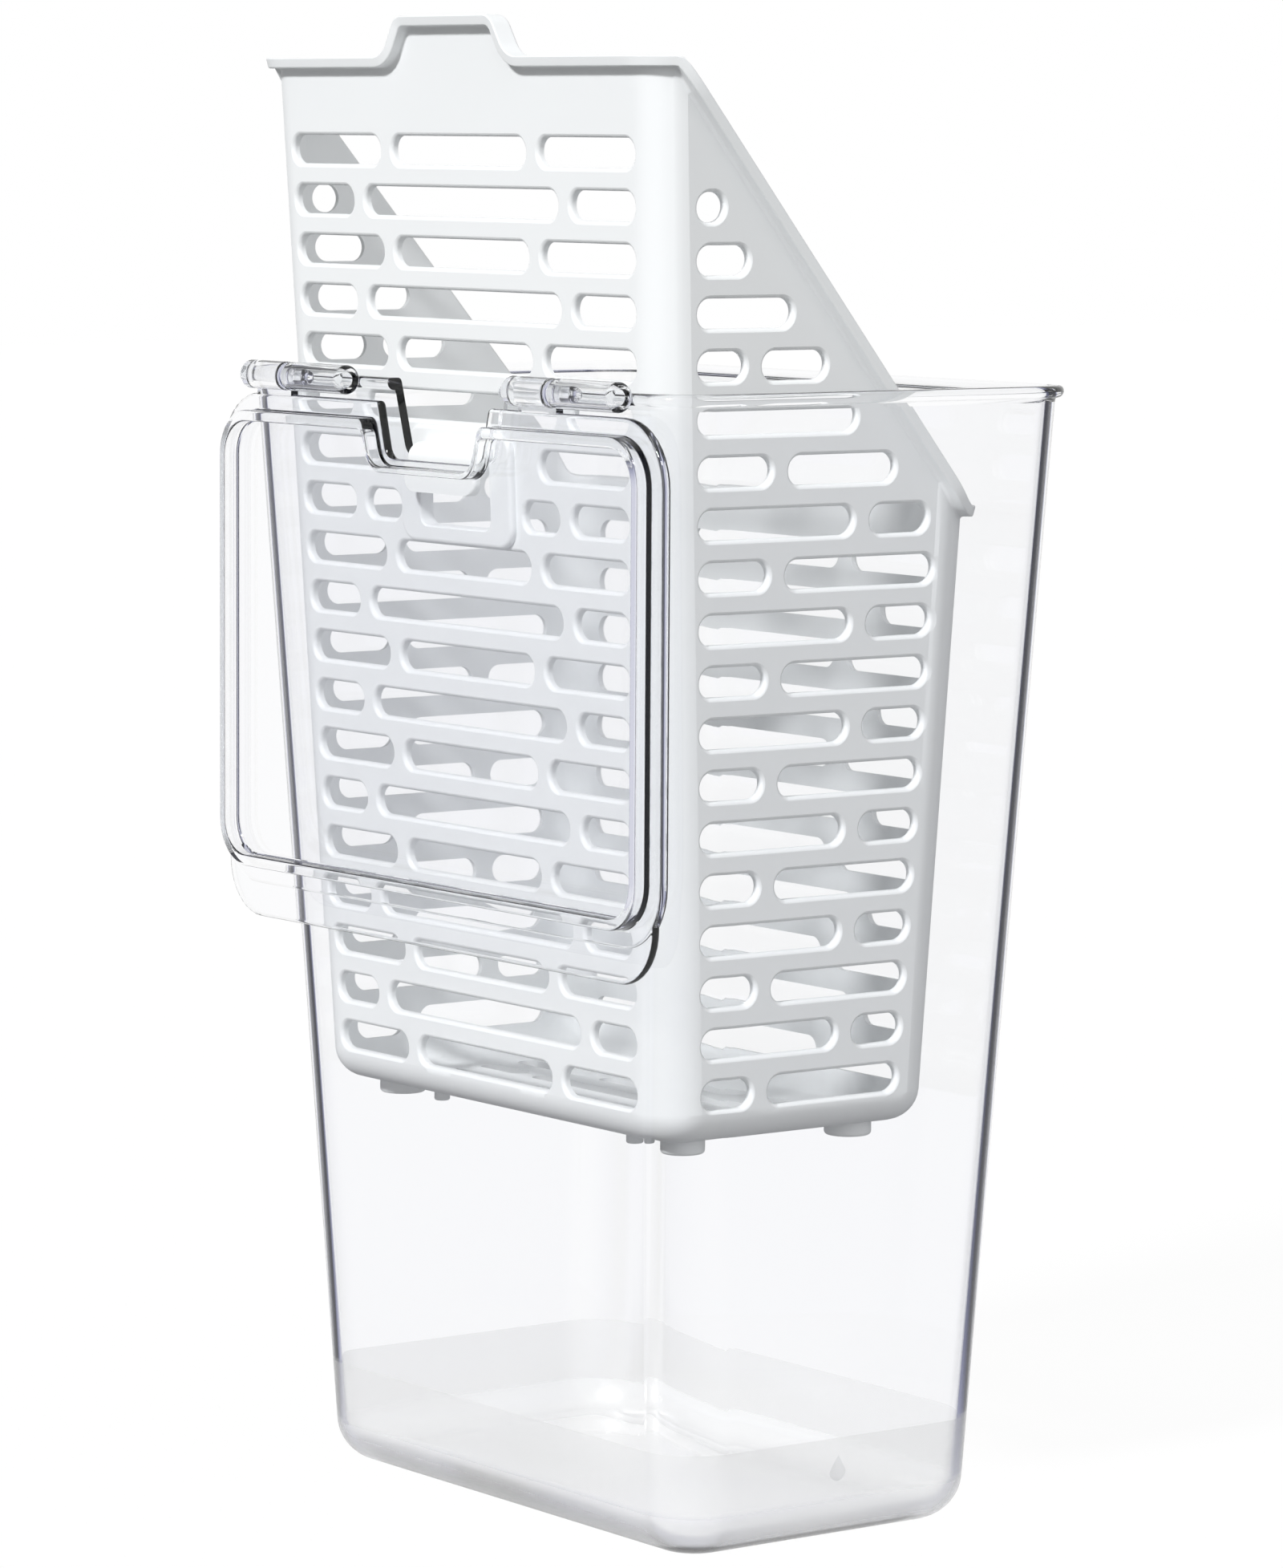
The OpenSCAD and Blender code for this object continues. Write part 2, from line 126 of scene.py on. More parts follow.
def mould(piece, other, operation):
    """Adds another solid to a piece or cuts it out, and uses the other one up."""
    step = piece.modifiers.new("mould", "BOOLEAN")
    step.operation = operation
    step.object = other
    step.solver = "MANIFOLD"
    bake(piece)
    used = other.data
    bpy.data.objects.remove(other)
    bpy.data.meshes.remove(used)


profile = [(-base_edge + r, base_edge + z) for r, z in arc((0, 0), base_edge, -90, 0, 10)]
profile.append((0, frost_top))
profile.append((0, mid_height))
profile.append((0, 236.6 * mm))
profile.append((0.08 * mm, 237 * mm))
profile += arc((bead_out - bead_r, height - bead_r), bead_r, -100, 90, 14)
profile += arc((lip_round - wall, height - lip_round), lip_round, 90, 180, 5)
profile.append((-wall, mid_height))
inner_round = base_edge - wall
inner_bend = arc((inner_round, floor_top + base_edge - wall), inner_round, 180, 270, 10)
profile += [(-wall - x, z) for x, z in inner_bend]
container = loft("clear_container", [container_section(z, out) for out, z in profile])


# Hinge knuckles of the container: two long barrels moulded on the front rim, each tied to the bead
# by a short web. The bore for the lid's pin is drawn blind, so that no dark ring shows through.
axis_y = -57.2 * mm
axis_z = 239.3 * mm
knuckle_r = 3.1 * mm
knuckle_round = 1.2 * mm
bore_r = 1.78 * mm
bore_stop = 2 * mm
web_bottom = 237.6 * mm
web_top = 239.9 * mm
web_back = -51.2 * mm
web_inset = 1.2 * mm
lid_knuckle = 15.5 * mm
knuckle_gap = 0.2 * mm
body_knuckle = 22.5 * mm
hinge_starts = (-67.6 * mm, 29.4 * mm)


def barrel(name, x0, x1, r, end_round, segments=40):
    """Barrel along X on the hinge's axis, with rounded ends."""
    bend = arc((0, 0), end_round, 0, 90, 5)
    ends = [(x0 + end_round - x, r - end_round + y) for x, y in bend]
    ends += [(x1 - end_round + x, r - end_round + y) for x, y in reversed(bend)]
    turns = [math.tau * k / segments for k in range(segments)]
    loops = []
    for x, radius in ends:
        loops.append([Vector((x, axis_y + radius * math.cos(t), axis_z + radius * math.sin(t)))
                      for t in turns])
    return loft(name, loops)


def block(name, low, high, soft):
    """Upright block with softened upright edges."""
    size = high - low
    middle = (low + high) / 2
    outline = rounded_rectangle(size.x, size.y, soft, 4)
    loops = [[Vector((middle.x + p.x, middle.y + p.y, z)) for p in outline] for z in (low.z, high.z)]
    return loft(name, loops)


for start in hinge_starts:
    x0 = start + lid_knuckle + knuckle_gap
    x1 = x0 + body_knuckle
    web_low = Vector((x0 + web_inset, axis_y, web_bottom))
    web_high = Vector((x1 - web_inset, web_back, web_top))
    mould(container, block("web", web_low, web_high, 0.6 * mm), "UNION")
    mould(container, barrel("knuckle", x0, x1, knuckle_r, knuckle_round), "UNION")
    mould(container, barrel("bore", x0 - 1 * mm, x1 - bore_stop, bore_r, 0.3 * mm), "DIFFERENCE")


# Notch in the container's front rim: the mould leaves a tapered gap with a rounded bottom,
# which carries the basket's hook.
notch_depth = 16.4 * mm
notch_bottom = 16.5 * mm
notch_top = 20.74 * mm
notch_round = 3.5 * mm


def rounded_path(points, radii, steps):
    """Open path in a plane whose inner corners are rounded, each by its own radius."""
    path = [Vector(points[0])]
    for before, corner, after, r in zip(points, points[1:], points[2:], radii):
        c = Vector(corner)
        u = (Vector(before) - c).normalized()
        v = (Vector(after) - c).normalized()
        half = u.angle(v) / 2
        middle = c + (u + v).normalized() * r / math.sin(half)
        first = c + u * r / math.tan(half) - middle
        last = c + v * r / math.tan(half) - middle
        for k in range(steps + 1):
            path.append(middle + first.slerp(last, k / steps) * r)
    path.append(Vector(points[-1]))
    return path


def upright_prism(name, outline, y0, y1):
    """Outline in X and Z, pushed along Y."""
    return loft(name, [[Vector((p.x, y, p.y)) for p in outline] for y in (y0, y1)])


notch = rounded_path([(-notch_top, height + 1 * mm), (-notch_bottom, height - notch_depth),
                      (notch_bottom, height - notch_depth), (notch_top, height + 1 * mm)],
                     [notch_round, notch_round], 10)
mould(container, upright_prism("notch", notch, -70 * mm, -40 * mm), "DIFFERENCE")


# Finish of the clear mouldings: polished plastic with the faintest ripple of the mould's steel. The
# band round the base is frosted, and the rounded edge below it is milky. Light passes through to
# what stands behind, so shadow rays are let through as well.
def smooth_skin(piece, sharp):
    """Smooth shading in which edges over the given angle stay sharp and large flat faces stay flat."""
    work = bmesh.new()
    work.from_mesh(piece.data)
    bmesh.ops.remove_doubles(work, verts=work.verts, dist=1e-6)
    for face in work.faces:
        face.smooth = True
    flats = {}
    for face in work.faces:
        if face in flats:
            continue
        flat = [face]
        flats[face] = flat
        for member in flat:
            near = [edge for edge in member.edges if edge.calc_face_angle(math.pi) < math.radians(0.3)]
            for other in (other for edge in near for other in edge.link_faces if other not in flats):
                flats[other] = flat
                flat.append(other)
    areas = {id(flat): sum(face.calc_area() for face in flat) for flat in flats.values()}
    for edge in work.edges:
        turn = edge.calc_face_angle(math.pi)
        sizes = sorted(areas[id(flats[face])] for face in edge.link_faces)
        beside_flat = turn > math.radians(6) and sizes[-1] > 30 * sizes[0]
        edge.smooth = turn < math.radians(sharp) and not beside_flat
    work.to_mesh(piece.data)
    work.free()
    lead = piece.modifiers.new("flat faces lead", "WEIGHTED_NORMAL")
    lead.keep_sharp = True
    lead.weight = 80
    bake(piece)


def wire(tree, operation, *values):
    """Output of a new math node in a node tree, with each of its inputs linked or set."""
    node = tree.nodes.new("ShaderNodeMath")
    node.operation = operation
    for socket, value in zip(node.inputs, values):
        if isinstance(value, (int, float)):
            socket.default_value = value
        else:
            tree.links.new(value, socket)
    return node.outputs[0]


def moulded_skin():
    """Group that gives the height of a moulded surface, fine grain on a slow ripple. Sizes in mm."""
    group = bpy.data.node_groups.new("moulded_skin", "ShaderNodeTree")
    for name, value in (("Grain size", 0.4), ("Grain depth", 0.5), ("Ripple size", 30.0)):
        socket = group.interface.new_socket(name, in_out="INPUT", socket_type="NodeSocketFloat")
        socket.default_value = value
    group.interface.new_socket("Height", in_out="OUTPUT", socket_type="NodeSocketFloat")
    group.interface.new_socket("Mottle", in_out="OUTPUT", socket_type="NodeSocketFloat")
    nodes = group.nodes
    link = group.links.new
    inputs = nodes.new("NodeGroupInput")
    outputs = nodes.new("NodeGroupOutput")
    place = nodes.new("ShaderNodeTexCoord")
    heights = []
    for socket in ("Grain size", "Ripple size"):
        noise = nodes.new("ShaderNodeTexNoise")
        noise.inputs["Detail"].default_value = 2.0
        link(place.outputs["Object"], noise.inputs["Vector"])
        link(wire(group, "DIVIDE", 1000.0, inputs.outputs[socket]), noise.inputs["Scale"])
        heights.append(noise.outputs["Fac"])
    grain, ripple = heights
    link(wire(group, "MULTIPLY_ADD", grain, inputs.outputs["Grain depth"], ripple), outputs.inputs["Height"])
    link(ripple, outputs.inputs["Mottle"])
    return group


skin = moulded_skin()


def clear_plastic(name, clearness, roughness, grain, bump_strength):
    """Clear moulded plastic. What it doesn't let through it scatters."""
    material = bpy.data.materials.new(name)
    material.use_nodes = True
    nodes = material.node_tree.nodes
    link = material.node_tree.links.new
    shader = nodes["Principled BSDF"]
    shader.inputs["Base Color"].default_value = (0.995, 0.997, 1, 1)
    shader.inputs["Transmission Weight"].default_value = clearness
    shader.inputs["IOR"].default_value = 1.47
    shader.inputs["Roughness"].default_value = roughness
    surface = nodes.new("ShaderNodeGroup")
    surface.node_tree = skin
    surface.inputs["Grain size"].default_value = grain
    bump = nodes.new("ShaderNodeBump")
    bump.inputs["Strength"].default_value = bump_strength
    bump.inputs["Distance"].default_value = 0.05 * mm
    link(surface.outputs["Height"], bump.inputs["Height"])
    link(bump.outputs["Normal"], shader.inputs["Normal"])
    rays = nodes.new("ShaderNodeLightPath").outputs
    through = nodes.new("ShaderNodeBsdfTransparent")
    through.inputs["Color"].default_value = (0.98, 0.981, 0.983, 1)
    either = nodes.new("ShaderNodeMixShader")
    open_to = wire(material.node_tree, "MAXIMUM", rays["Is Shadow Ray"], rays["Is Diffuse Ray"])
    link(open_to, either.inputs["Fac"])
    link(shader.outputs["BSDF"], either.inputs[1])
    link(through.outputs["BSDF"], either.inputs[2])
    link(either.outputs["Shader"], nodes["Material Output"].inputs["Surface"])
    return material


smooth_skin(container, 28)
frost_roughness = 0.2
polished = clear_plastic("clear_polished", 1.0, 0.015, 5.0, 0.03)
frosted = clear_plastic("clear_frosted", 0.8, frost_roughness, 0.5, 0.12)
milky = clear_plastic("clear_base_edge", 0.72, 0.25, 2.0, 0.04)

# The drop stands in the middle of the right wall: a round below, drawn in to a point above
drop_z = 15.4 * mm
drop_r = 2.15 * mm
drop_taper = 0.62
drop_roughness = 0.05
band = frosted.node_tree
band_shader = band.nodes["Principled BSDF"]
axes = band.nodes.new("ShaderNodeSeparateXYZ")
band.links.new(band.nodes.new("ShaderNodeTexCoord").outputs["Object"], axes.inputs[0])
rise = wire(band, "SUBTRACT", axes.outputs["Z"], drop_z)
lean_in = wire(band, "MULTIPLY", wire(band, "MAXIMUM", rise, 0.0), drop_taper)
wide = wire(band, "ADD", wire(band, "ABSOLUTE", axes.outputs["Y"]), lean_in)
below = wire(band, "MINIMUM", rise, 0.0)
squares = wire(band, "ADD", wire(band, "MULTIPLY", wide, wide), wire(band, "MULTIPLY", below, below))
inside_drop = wire(band, "LESS_THAN", wire(band, "SQRT", squares), drop_r)
drop = wire(band, "MULTIPLY", inside_drop, wire(band, "GREATER_THAN", axes.outputs["X"], 0.0))
smoother = wire(band, "MULTIPLY", drop, frost_roughness - drop_roughness)
band.links.new(wire(band, "SUBTRACT", frost_roughness, smoother), band_shader.inputs["Roughness"])
drop_tint = band.nodes.new("ShaderNodeMix")
drop_tint.data_type = "RGBA"
drop_tint.inputs["A"].default_value = (0.91, 0.912, 0.915, 1)
drop_tint.inputs["B"].default_value = (0.72, 0.725, 0.735, 1)
band.links.new(drop, drop_tint.inputs["Factor"])
band.links.new(drop_tint.outputs["Result"], band_shader.inputs["Base Color"])
container.data.materials.clear()
container.data.materials.append(polished)
container.data.materials.append(frosted)
container.data.materials.append(milky)
for face in container.data.polygons:
    outwards = face.normal.x * face.center.x + face.normal.y * face.center.y
    if face.center.z < frost_top and outwards > 0.004 * face.center.xy.length:
        face.material_index = 1 if face.center.z > base_edge else 2
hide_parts("container")
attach(container, "container")


# Lid: a flat clear moulding with a plug ring under it, a notch that matches the container's, and
# a pull lip past the ring. It is drawn closed, measured from the hinge's axis, and then swung
# open by a right angle, so that it hangs in front of the container.
lid_low = 1 * mm
lid_high = 3 * mm
lid_half_w = 80.45 * mm
lid_near = 4.05 * mm
lid_far = 117.9 * mm
plate_far = 110.9 * mm
lip_half_w = 77.8 * mm
ring_low = -2.5 * mm
ring_half_w = 76.25 * mm
ring_near = 7.7 * mm
ring_far = 106.7 * mm
ring_wall = 2.4 * mm
lid_notch_reach = 16 * mm
lip_start = 95 * mm
lip_step = 0.12 * mm
ring_foot = 0.4 * mm
pin_r = 1.7 * mm
pin_root = 2 * mm
pin_reach = 9 * mm
pin_round = 1.5 * mm
arm_reach = lid_near + 2 * mm
arm_inset = 1.2 * mm
arm_low = lid_low + 0.1 * mm
arm_high = lid_high - 0.1 * mm


def hang(x, y, z):
    """A point of the closed lid, swung open about the hinge's axis."""
    return Vector((x, axis_y + z, axis_z - y))


def closed_outline(points, radii, steps):
    """Closed outline in a plane with each corner rounded by its own radius."""
    count = len(points)
    whole = []
    for i in range(count):
        trio = [points[i - 1], points[i], points[(i + 1) % count]]
        whole += rounded_path(trio, [radii[i]], steps)[1:-1]
    return whole


def shifted(outline, inset):
    """Outline that runs anticlockwise, moved inwards by the given amount."""
    moved = []
    count = len(outline)
    for i in range(count):
        before = (outline[i] - outline[i - 1]).normalized()
        after = (outline[(i + 1) % count] - outline[i]).normalized()
        way = (before + after).normalized()
        stretch = 1 / max(way.dot(before), 0.5)
        moved.append(outline[i] + Vector((-way.y, way.x)) * inset * stretch)
    return moved


def notched_outline(half, near, far, corner_r, mouth, bottom, bottom_y, mouth_r, bottom_r):
    """Outline of the lid or its ring: a rounded rectangle with the notch let into its near side."""
    points = [(-mouth, near), (-bottom, bottom_y), (bottom, bottom_y), (mouth, near),
              (half, near), (half, far), (-half, far), (-half, near)]
    return closed_outline(points, [mouth_r, bottom_r, bottom_r, mouth_r] + [corner_r] * 4, 10)


plate = notched_outline(lid_half_w, lid_near, plate_far, 14 * mm,
                        19.8 * mm, 16.5 * mm, lid_notch_reach, 1.2 * mm, 3.5 * mm)
ring = notched_outline(ring_half_w, ring_near, ring_far, 10 * mm,
                       21 * mm, 17.9 * mm, 17.5 * mm, 2 * mm, 4.9 * mm)
hollow = notched_outline(ring_half_w - ring_wall, ring_near + ring_wall, ring_far - ring_wall, 7.6 * mm,
                         21.6 * mm, 19.1 * mm, 18.8 * mm, 2 * mm, 5.9 * mm)


def lid_loop(outline, inset, z):
    """Level loop of the closed lid, moved inwards from an outline and swung open."""
    return [hang(p.x, p.y, z) for p in shifted(outline, inset)]


soft = 0.8 * mm
tip = 0.55 * mm
lid_loops = [lid_loop(plate, soft - x, lid_high - soft + z) for x, z in arc((0, 0), soft, 90, 0, 5)]
lid_loops += [lid_loop(plate, soft - x, lid_low + soft + z) for x, z in arc((0, 0), soft, 0, -90, 5)]
lid_loops += [lid_loop(ring, x, z) for x, z in arc((-ring_foot, lid_low - ring_foot), ring_foot, 90, 0, 3)]
lid_loops += [lid_loop(ring, tip - x, ring_low + tip + z) for x, z in arc((0, 0), tip, 0, -90, 5)]
lid_loops += [lid_loop(hollow, -tip - x, ring_low + tip + z) for x, z in arc((0, 0), tip, -90, -180, 5)]
lid_loops += [lid_loop(hollow, ring_foot + x, lid_low - ring_foot + z)
              for x, z in arc((0, 0), ring_foot, 180, 90, 3)]
lid = loft("clear_lid", lid_loops)
lip = closed_outline(
    [(-lip_half_w, lip_start), (lip_half_w, lip_start), (lip_half_w, lid_far), (-lip_half_w, lid_far)],
    [2 * mm, 2 * mm, 12 * mm, 12 * mm], 10)
levels = [(soft - x, lid_low + lip_step + soft + z) for x, z in arc((0, 0), soft, -90, 0, 4)]
levels += [(soft - x, lid_high - lip_step - soft + z) for x, z in arc((0, 0), soft, 0, 90, 4)]
mould(lid, loft("lip", [lid_loop(lip, inset, z) for inset, z in levels]), "UNION")
for start in hinge_starts:
    end = start + lid_knuckle
    arm_section = ((0, arm_low), (arm_reach, arm_low), (arm_reach, arm_high), (0, arm_high))
    arm_ends = (start + arm_inset, end - arm_inset)
    mould(lid, loft("arm", [[hang(x, y, z) for y, z in arm_section] for x in arm_ends]), "UNION")
    mould(lid, barrel("lid_knuckle", start, end, knuckle_r, knuckle_round), "UNION")
    mould(lid, barrel("pin", end - pin_root, end + pin_reach, pin_r, pin_round), "UNION")
smooth_skin(lid, 28)
lid.data.materials.clear()
lid.data.materials.append(polished)
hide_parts("lid")
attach(lid, "lid")


# Basket: one injection moulding of white polypropylene with a satin skin. Its front is tall and
# carries a finger tab, its sides slant down to a low back, and a flange runs all along its rim.
basket_place = Vector((0, -6.31, 86)) * mm
basket_h = 221 * mm
basket_low_w = 125.03 * mm
basket_low_d = 69.34 * mm
basket_lean_x = 0.04085
basket_lean_y = 0.0457
basket_wall = 1.8 * mm
basket_floor = 2 * mm
basket_corner = 9 * mm
basket_edge = 6.5 * mm
back_h = 129 * mm
flange_out = 3 * mm
flange_t = 2.2 * mm
flange_root = 0.7 * mm
flange_low_out = flange_out - 0.7 * mm
flange_low_round = 0.4 * mm
flange_top_round = 0.3 * mm
flange_lean = -9
rim_round = 0.7 * mm
tab_top = 229.5 * mm
tab_half = 17.2 * mm
tab_foot = 22.4 * mm
slant_start = -40.5 * mm
slant_end = 37.6 * mm
corner_steps = 12


def half_w(z):
    """Half the basket's outer width at a height above its floor's underside."""
    return basket_low_w / 2 + basket_lean_x * z


def half_d(z):
    """Half the basket's outer depth at a height above its floor's underside."""
    return basket_low_d / 2 + basket_lean_y * z


def height_along(path, at):
    """Height of a path of (along, height) points at one place along it."""
    for a, b in zip(path, path[1:]):
        if a.x <= at <= b.x:
            return a.y + (b.y - a.y) * (at - a.x) / max(b.x - a.x, 1e-9)
    return path[0].y if at < path[0].x else path[-1].y


front_run = half_w(basket_h) - basket_corner
front_rim = rounded_path([(-front_run, basket_h), (-tab_foot, basket_h), (-tab_half, tab_top),
                          (tab_half, tab_top), (tab_foot, basket_h), (front_run, basket_h)],
                         [6 * mm, 4.5 * mm, 4.5 * mm, 6 * mm], 10)
side_rim = rounded_path([(-60 * mm, basket_h), (slant_start, basket_h),
                         (slant_end, back_h), (60 * mm, back_h)], [3 * mm, 5 * mm], 8)

# Columns round the basket: how far along the straight sides, the way outwards, and the rim's height
columns = [(p.x / (half_w(p.y) - basket_corner), -1, 0, -1, p.y) for p in front_rim[1:-1]]
for end in (-1, 1):
    extra = [(end * (1 - 0.03 * k), -1, 0, -1, basket_h) for k in (1, 6)]
    columns = extra + columns if end < 0 else columns + extra[::-1]


def corner_columns(sx, sy, first):
    """Columns round one upright corner of the basket."""
    made = []
    for k in range(corner_steps + 1):
        turn = math.radians(first + 90 * k / corner_steps)
        nx = math.cos(turn)
        ny = math.sin(turn)
        z = basket_h
        for _ in range(12):
            along = sy * (half_d(z) - basket_corner) + (basket_corner + flange_out) * ny
            z = height_along(side_rim, along)
        made.append((sx, sy, nx, ny, z))
    return made


def side_columns(sx, shares):
    """Columns along one side, from their shares of the straight run."""
    made = []
    for share in shares:
        z = basket_h
        for _ in range(60):
            z = (z + height_along(side_rim, share * (half_d(z) - basket_corner))) / 2
        made.append((sx, share, sx, 0, z))
    return made


side_shares = (-0.96, -0.8, -0.6, -0.4, -0.2, 0, 0.2, 0.4, 0.6, 0.8, 0.96)
columns += corner_columns(1, -1, -90)
columns += side_columns(1, side_shares)
columns += corner_columns(1, 1, 0)
columns += [(share, 1, 0, 1, back_h) for share in (0.96, 0.5, 0, -0.5, -0.96)]
columns += corner_columns(-1, 1, 90)
columns += side_columns(-1, side_shares[::-1])
columns += corner_columns(-1, -1, 180)


def basket_point(column, z, out):
    """A point of one column at a height, moved outwards from the outer wall."""
    along_x, along_y, nx, ny, _ = column
    r = basket_corner + out
    return Vector((along_x * (half_w(z) - basket_corner) + r * nx,
                   along_y * (half_d(z) - basket_corner) + r * ny, z)) + basket_place


rim = [basket_point(c, c[4], 0) for c in columns]
ways_out = [Vector((c[2], c[3], 0)) for c in columns]
leans = [Vector((c[0] * basket_lean_x, c[1] * basket_lean_y, 0)) for c in columns]
ways_up = []
for i, here in enumerate(rim):
    before = (here - rim[i - 1]).normalized()
    after = (rim[(i + 1) % len(rim)] - here).normalized()
    ways_up.append(ways_out[i].cross(before + after).normalized())


def at_rim(out, up):
    """Loop along the rim, moved outwards from it and upwards along the leaning walls."""
    return [p + n * out + (b + lean * b.z) * up for p, n, b, lean in zip(rim, ways_out, ways_up, leans)]


def between(low, high, share):
    """Loop a share of the way from one loop to another."""
    return [a.lerp(b, share) for a, b in zip(low, high)]


outer = [[basket_point(c, basket_edge + z, r - basket_edge) for c in columns]
         for r, z in arc((0, 0), basket_edge, -90, 0, 8)]
under_flange = at_rim(0, -flange_t - flange_root)
outer += [between(outer[-1], under_flange, 0.5), under_flange]
flange_path = arc((flange_root, -flange_t - flange_root), flange_root, 180, 90, 4)[1:]
low_middle = (flange_low_out, flange_low_round - flange_t)
top_middle = (flange_out - flange_top_round, -flange_top_round)
flange_path += arc(low_middle, flange_low_round, -90, flange_lean, 4)
flange_path += arc(top_middle, flange_top_round, flange_lean, 90, 5)
outer += [at_rim(x, z) for x, z in flange_path]
inner = [at_rim(x, z) for x, z in arc((rim_round - basket_wall, -rim_round), rim_round, 90, 180, 4)]
inner_edge = [[basket_point(c, basket_floor + basket_edge - z, x - basket_edge - basket_wall)
               for c in columns] for x, z in arc((0, 0), basket_edge, 0, 90, 8)]
inner += [between(inner[-1], inner_edge[0], 0.5)]
basket = loft("white_basket", outer + inner + inner_edge)


# Pad and hook of the basket: a raised pad on the front wall stiffens it, and a hook grows out of
# the pad to hang over the bottom of the container's notch. A window in the pad frees the hook's
# leg in the mould.
hook_seat = 137.9 * mm
hook_w = 26 * mm
hook_t = 3.1 * mm
hook_leg_t = 2.2 * mm
hook_mouth = 4.2 * mm
hook_leg = 7.2 * mm
hook_soft = 0.75 * mm
bend = 2.1 * mm
bend_steps = 8
leg_round = 3 * mm
leg_steps = 6
pad_drop = 5.65 * mm
pad_out = 0.6 * mm
pad_round = 0.9 * mm
window_drop = 7.1 * mm
front_out = Vector((0, -1, -basket_lean_y)).normalized()


def on_front(x, z, out):
    """A point over the basket's leaning front wall, at a height above its floor's underside."""
    return Vector((x, -half_d(z), z)) + basket_place + front_out * out


pad_outline = rounded_rectangle(40 * mm, 24.5 * mm, 4.5 * mm, 8)
pad_middle = hook_seat - pad_drop
pad_levels = [(0, -0.9 * mm)]
pad_levels += [(pad_round - x, pad_out + z) for x, z in arc((0, 0), pad_round, 0, 90, 5)]
pad = loft("pad", [[on_front(p.x, pad_middle + p.y, out) for p in shifted(pad_outline, inset)]
                   for inset, out in pad_levels])
mould(basket, pad, "UNION")
window = rounded_rectangle(25 * mm, 14.2 * mm, 2 * mm, 6)
window_levels = [(0, -3 * mm), (0, 0.9 * mm), (-0.25 * mm, 1.35 * mm), (-0.9 * mm, 1.9 * mm)]
cutter = loft("window", [[on_front(p.x, hook_seat - window_drop + p.y, out) for p in shifted(window, inset)]
                         for inset, out in window_levels])
mould(basket, cutter, "DIFFERENCE")

# The hook is swept along its path as flat sections that thin out and narrow towards the leg's end
hook_root = Vector((0, -half_d(hook_seat), hook_seat)) + basket_place
bend_middle = Vector((0, -hook_mouth - hook_leg_t / 2 + bend, hook_t / 2 - bend))
hook_path = [(Vector((0, 1.2 * mm, hook_t / 2)), Vector((0, 0, 1)), hook_t, 0)]
hook_path.append((Vector((0, bend_middle.y, hook_t / 2)), Vector((0, 0, 1)), hook_t, 0))
for k in range(1, bend_steps + 1):
    turn = math.radians(90 + 90 * k / bend_steps)
    way = Vector((0, math.cos(turn), math.sin(turn)))
    thick = hook_t + (hook_leg_t - hook_t) * k / bend_steps
    hook_path.append((bend_middle + way * bend, way, thick, 0))
leg_y = -hook_mouth - hook_leg_t / 2
for k in range(leg_steps + 1):
    turn = math.radians(90 * k / leg_steps)
    fall = -hook_leg + leg_round * (1 - math.sin(turn))
    narrow = leg_round * (1 - math.cos(turn)) * 0.98
    hook_path.append((Vector((0, leg_y, fall)), Vector((0, -1, 0)), hook_leg_t, narrow))
hook_loops = []
for middle, way, thick, narrow in hook_path:
    flat = rounded_rectangle(hook_w - 2 * narrow, thick, hook_soft, 5)
    hook_loops.append([hook_root + middle + Vector((p.x, 0, 0)) + way * p.y for p in flat])
mould(basket, loft("hook", hook_loops), "UNION")


# Feet of the basket: four round feet near the corners of its floor and two thin drip pegs, moulded on
# and softened at their ends. They keep the floor off the container's when the basket is let down.
foot_h = 3.4 * mm
foot_x = 50 * mm
foot_y = 21.5 * mm
foot_r = 5 * mm
peg_x = 35 * mm
peg_r = 1.7 * mm
foot_sides = 32


def round_foot(x, y, r, soft):
    """Foot that starts inside the floor and ends in a softened rim."""
    levels = [(r, 1 * mm)] + [(r - soft + a, soft - foot_h + b) for a, b in arc((0, 0), soft, 0, -90, 4)]
    turns = [math.tau * k / foot_sides for k in range(foot_sides)]
    return loft("foot", [[Vector((x + radius * math.cos(t), y + radius * math.sin(t), z)) + basket_place
                          for t in turns] for radius, z in levels])


for sx in (-1, 1):
    for sy in (-1, 1):
        mould(basket, round_foot(sx * foot_x, sy * foot_y, foot_r, 0.8 * mm), "UNION")
    mould(basket, round_foot(sx * peg_x, -foot_y, peg_r, 0.5 * mm), "UNION")


# Slots of the basket: rows of round-ended slots drain the front, back, sides and floor. The bars
# between them are staggered from row to row, and the mould rounds each slot's outer edge.
slot_h = 6.1 * mm
row_pitch = 10.64 * mm
first_row = 204.6 * mm
rows = 19
bar_w = 4.4 * mm
slot_least = 6.2 * mm
slot_margin = 9.3 * mm
front_bars = (26.3 * mm, 37 * mm)
beside_pad_x = 22.2 * mm
below_pad = 17.9 * mm
above_pad = 6.6 * mm
side_bars = (23 * mm, 44.5 * mm)
side_bar_short = 16 * mm
slot_slant_start = -41 * mm
slant_margin = 9.5 * mm
back_margin = 11 * mm
floor_slot_h = 5 * mm
floor_rows = 4
floor_row_pitch = 10 * mm
floor_row_end = 42 * mm
floor_bars = (14 * mm, 25 * mm)


def spans_between(x0, x1, bars):
    """Spans of the slots in one row, parted by bars."""
    starts = [x0] + [b + bar_w / 2 for b in bars]
    ends = [b - bar_w / 2 for b in bars] + [x1]
    return [(a, min(b, x1)) for a, b in zip(starts, ends) if min(b, x1) - a >= slot_least - 1e-6]


def slot_at(middle, along, outwards, x0, x1, h):
    """One slot: its middle on the outer face, its direction, its turn and half its straight run."""
    turned = Matrix((along, outwards.cross(along), outwards)).transposed()
    return (middle, along, Vector(turned.to_euler()), (x1 - x0 - h) / 2)


